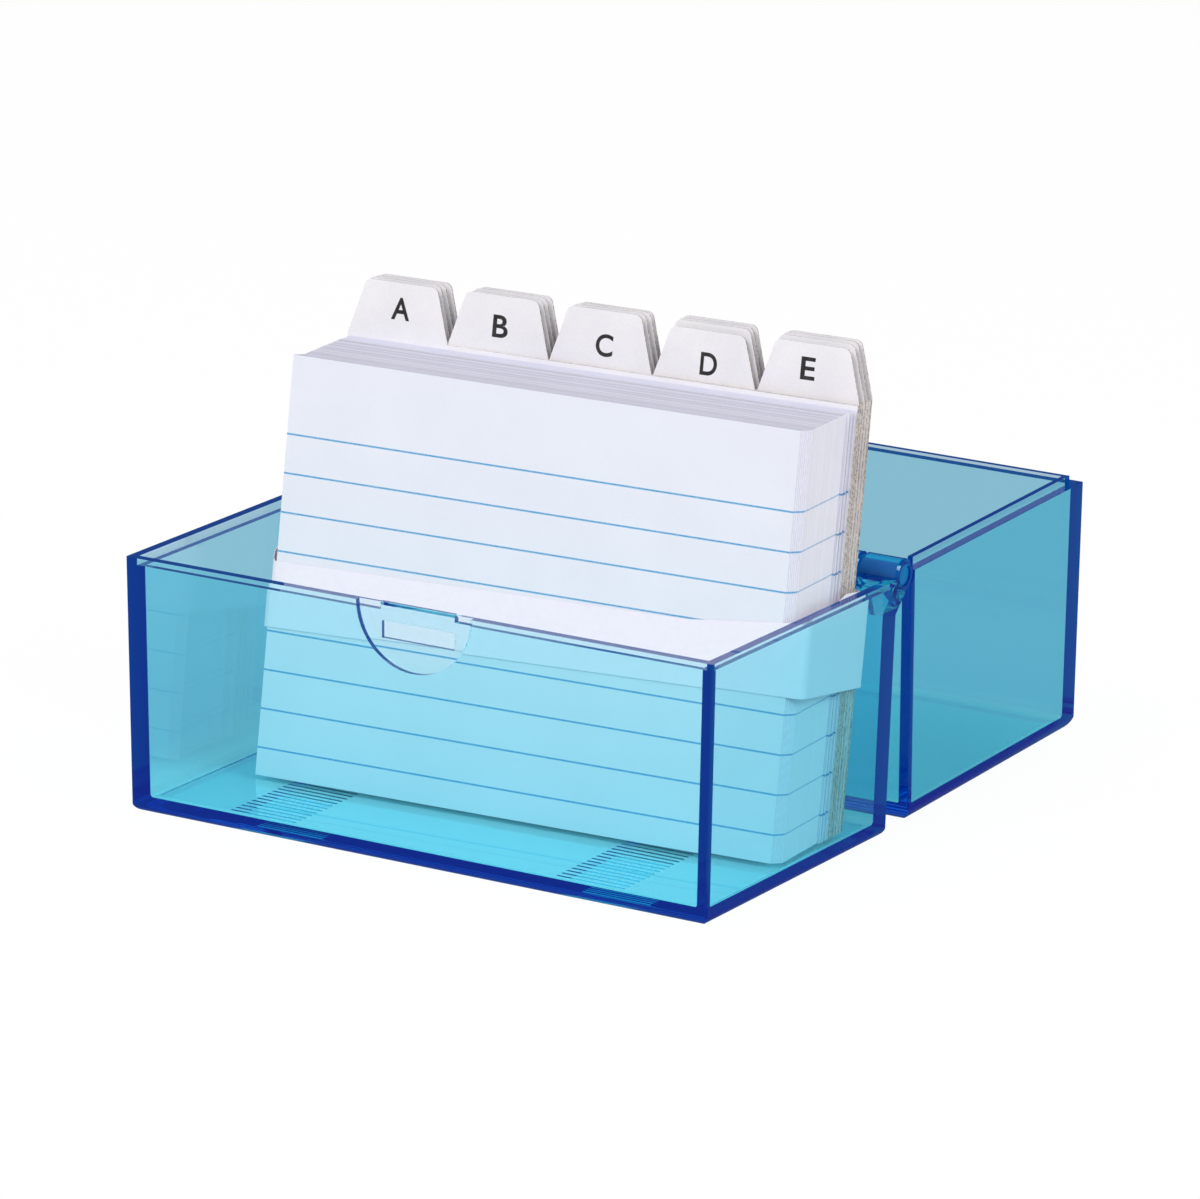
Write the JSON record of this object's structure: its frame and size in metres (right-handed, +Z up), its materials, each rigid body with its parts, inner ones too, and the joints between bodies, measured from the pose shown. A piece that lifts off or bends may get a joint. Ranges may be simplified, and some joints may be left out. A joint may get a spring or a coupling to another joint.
{
  "type": "index card box",
  "caption": "Clear hinged card box with its lid laid back, a latch, and a leaning banded stack of ruled cards and lettered tab dividers.",
  "frame": {"origin": "on the table below the middle of the hinge line, which is the middle of the open box", "axes": "+X along the hinge to the right as seen from the latch, +Y from the tray to the opened lid, +Z up"},
  "size_m": [0.119, 0.1321, 0.0878],
  "materials": {
    "clear_blue_plastic": "polished, see-through",
    "card_paper": "matte",
    "band_paper": "matte",
    "divider_board": "matte"
  },
  "bodies": {
    "tray": {"tray": "clear_blue_plastic"},
    "lid": {"lid": "clear_blue_plastic", "hinge_pin_left": "clear_blue_plastic", "hinge_pin_right": "clear_blue_plastic"},
    "card_stack": {"paper_band": "band_paper", "ruled_card_pack_1": "card_paper", "ruled_card_pack_2": "card_paper", "ruled_card_pack_3": "card_paper", "ruled_card_pack_4": "card_paper", "ruled_card_pack_5": "card_paper", "wide_card_pack": "card_paper"},
    "ruled_card_1": {"ruled_card_1": "card_paper"},
    "ruled_card_2": {"ruled_card_2": "card_paper"},
    "ruled_card_3": {"ruled_card_3": "card_paper"},
    "ruled_card_4": {"ruled_card_4": "card_paper"},
    "ruled_card_5": {"ruled_card_5": "card_paper"},
    "ruled_card_6": {"ruled_card_6": "card_paper"},
    "divider_a1": {"divider_a1": "divider_board"},
    "divider_b1": {"divider_b1": "divider_board"},
    "divider_c1": {"divider_c1": "divider_board"},
    "divider_d1": {"divider_d1": "divider_board"},
    "divider_e1": {"divider_e1": "divider_board"},
    "divider_a2": {"divider_a2": "divider_board"},
    "divider_b2": {"divider_b2": "divider_board"},
    "divider_c2": {"divider_c2": "divider_board"},
    "divider_d2": {"divider_d2": "divider_board"},
    "divider_e2": {"divider_e2": "divider_board"},
    "divider_a3": {"divider_a3": "divider_board"},
    "divider_b3": {"divider_b3": "divider_board"},
    "divider_c3": {"divider_c3": "divider_board"},
    "divider_d3": {"divider_d3": "divider_board"},
    "divider_e3": {"divider_e3": "divider_board"},
    "divider_a4": {"divider_a4": "divider_board"},
    "divider_b4": {"divider_b4": "divider_board"},
    "divider_c4": {"divider_c4": "divider_board"},
    "divider_d4": {"divider_d4": "divider_board"},
    "divider_e4": {"divider_e4": "divider_board"}
  },
  "joints": [
    {"name": "lid_hinge", "type": "hinge", "parent": "tray", "child": "lid", "pos_m": [0, 0, 0.04675], "axis": [1, 0, 0], "range_deg": [0, 178.19]},
    {"name": "stack_tilt", "type": "hinge", "parent": "tray", "child": "card_stack", "pos_m": [0.0025, -0.03869, 0.00288], "axis": [0.9988, 0.05, 0], "range_deg": [0, 4.41]},
    {"name": "ruled_card_1_lift", "type": "slide", "parent": "card_stack", "child": "ruled_card_1", "axis": [0.0076, -0.1513, -0.9885], "range_m": [-0.05, 0]},
    {"name": "ruled_card_2_lift", "type": "slide", "parent": "card_stack", "child": "ruled_card_2", "axis": [0.0076, -0.1513, -0.9885], "range_m": [-0.05, 0]},
    {"name": "ruled_card_3_lift", "type": "slide", "parent": "card_stack", "child": "ruled_card_3", "axis": [0.0076, -0.1513, -0.9885], "range_m": [-0.05, 0]},
    {"name": "ruled_card_4_lift", "type": "slide", "parent": "card_stack", "child": "ruled_card_4", "axis": [0.0076, -0.1513, -0.9885], "range_m": [-0.05, 0]},
    {"name": "ruled_card_5_lift", "type": "slide", "parent": "card_stack", "child": "ruled_card_5", "axis": [0.0076, -0.1513, -0.9885], "range_m": [-0.05, 0]},
    {"name": "ruled_card_6_lift", "type": "slide", "parent": "card_stack", "child": "ruled_card_6", "axis": [0.0076, -0.1513, -0.9885], "range_m": [-0.05, 0]},
    {"name": "divider_a1_lift", "type": "slide", "parent": "card_stack", "child": "divider_a1", "axis": [0.0076, -0.1513, -0.9885], "range_m": [-0.05, 0]},
    {"name": "divider_b1_lift", "type": "slide", "parent": "card_stack", "child": "divider_b1", "axis": [0.0076, -0.1513, -0.9885], "range_m": [-0.05, 0]},
    {"name": "divider_c1_lift", "type": "slide", "parent": "card_stack", "child": "divider_c1", "axis": [0.0076, -0.1513, -0.9885], "range_m": [-0.05, 0]},
    {"name": "divider_d1_lift", "type": "slide", "parent": "card_stack", "child": "divider_d1", "axis": [0.0076, -0.1513, -0.9885], "range_m": [-0.05, 0]},
    {"name": "divider_e1_lift", "type": "slide", "parent": "card_stack", "child": "divider_e1", "axis": [0.0076, -0.1513, -0.9885], "range_m": [-0.05, 0]},
    {"name": "divider_a2_lift", "type": "slide", "parent": "card_stack", "child": "divider_a2", "axis": [0.0076, -0.1513, -0.9885], "range_m": [-0.05, 0]},
    {"name": "divider_b2_lift", "type": "slide", "parent": "card_stack", "child": "divider_b2", "axis": [0.0076, -0.1513, -0.9885], "range_m": [-0.05, 0]},
    {"name": "divider_c2_lift", "type": "slide", "parent": "card_stack", "child": "divider_c2", "axis": [0.0076, -0.1513, -0.9885], "range_m": [-0.05, 0]},
    {"name": "divider_d2_lift", "type": "slide", "parent": "card_stack", "child": "divider_d2", "axis": [0.0076, -0.1513, -0.9885], "range_m": [-0.05, 0]},
    {"name": "divider_e2_lift", "type": "slide", "parent": "card_stack", "child": "divider_e2", "axis": [0.0076, -0.1513, -0.9885], "range_m": [-0.05, 0]},
    {"name": "divider_a3_lift", "type": "slide", "parent": "card_stack", "child": "divider_a3", "axis": [0.0076, -0.1513, -0.9885], "range_m": [-0.05, 0]},
    {"name": "divider_b3_lift", "type": "slide", "parent": "card_stack", "child": "divider_b3", "axis": [0.0076, -0.1513, -0.9885], "range_m": [-0.05, 0]},
    {"name": "divider_c3_lift", "type": "slide", "parent": "card_stack", "child": "divider_c3", "axis": [0.0076, -0.1513, -0.9885], "range_m": [-0.05, 0]},
    {"name": "divider_d3_lift", "type": "slide", "parent": "card_stack", "child": "divider_d3", "axis": [0.0076, -0.1513, -0.9885], "range_m": [-0.05, 0]},
    {"name": "divider_e3_lift", "type": "slide", "parent": "card_stack", "child": "divider_e3", "axis": [0.0076, -0.1513, -0.9885], "range_m": [-0.05, 0]},
    {"name": "divider_a4_lift", "type": "slide", "parent": "card_stack", "child": "divider_a4", "axis": [0.0076, -0.1513, -0.9885], "range_m": [-0.05, 0]},
    {"name": "divider_b4_lift", "type": "slide", "parent": "card_stack", "child": "divider_b4", "axis": [0.0076, -0.1513, -0.9885], "range_m": [-0.05, 0]},
    {"name": "divider_c4_lift", "type": "slide", "parent": "card_stack", "child": "divider_c4", "axis": [0.0076, -0.1513, -0.9885], "range_m": [-0.05, 0]},
    {"name": "divider_d4_lift", "type": "slide", "parent": "card_stack", "child": "divider_d4", "axis": [0.0076, -0.1513, -0.9885], "range_m": [-0.05, 0]},
    {"name": "divider_e4_lift", "type": "slide", "parent": "card_stack", "child": "divider_e4", "axis": [0.0076, -0.1513, -0.9885], "range_m": [-0.05, 0]}
  ],
  "couplings": [
    {"joint": "stack_tilt", "follows": "lid_hinge", "ratio": 0.0247}
  ]
}
